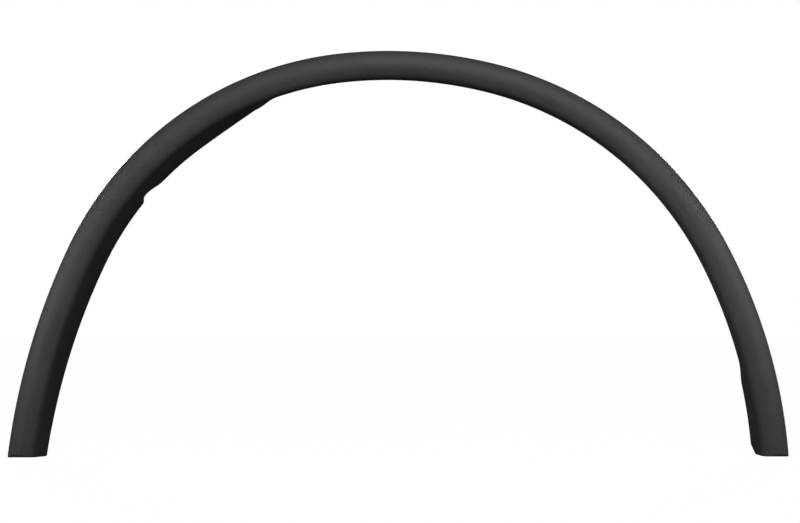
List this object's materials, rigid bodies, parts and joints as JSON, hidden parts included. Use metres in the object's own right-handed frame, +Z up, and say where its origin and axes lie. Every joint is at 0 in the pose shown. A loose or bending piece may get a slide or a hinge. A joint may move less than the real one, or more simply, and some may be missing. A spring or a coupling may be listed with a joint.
{
  "type": "wheel arch trim",
  "caption": "Dark grey moulded trim that frames a car's wheel opening, with a crowned face, a stepped and notched return flange, and clip seats and pins behind.",
  "frame": {"origin": "midway between the two lower ends, at the foot of the left one, halfway through the depth", "axes": "+X along the car towards the right end as the picture shows it, +Z up, the face that shows towards -Y"},
  "size_m": [0.8998, 0.044, 0.4719],
  "materials": {
    "moulded_plastic": "matte"
  },
  "bodies": {
    "root": {"arch_moulding": "moulded_plastic"}
  },
  "joints": []
}
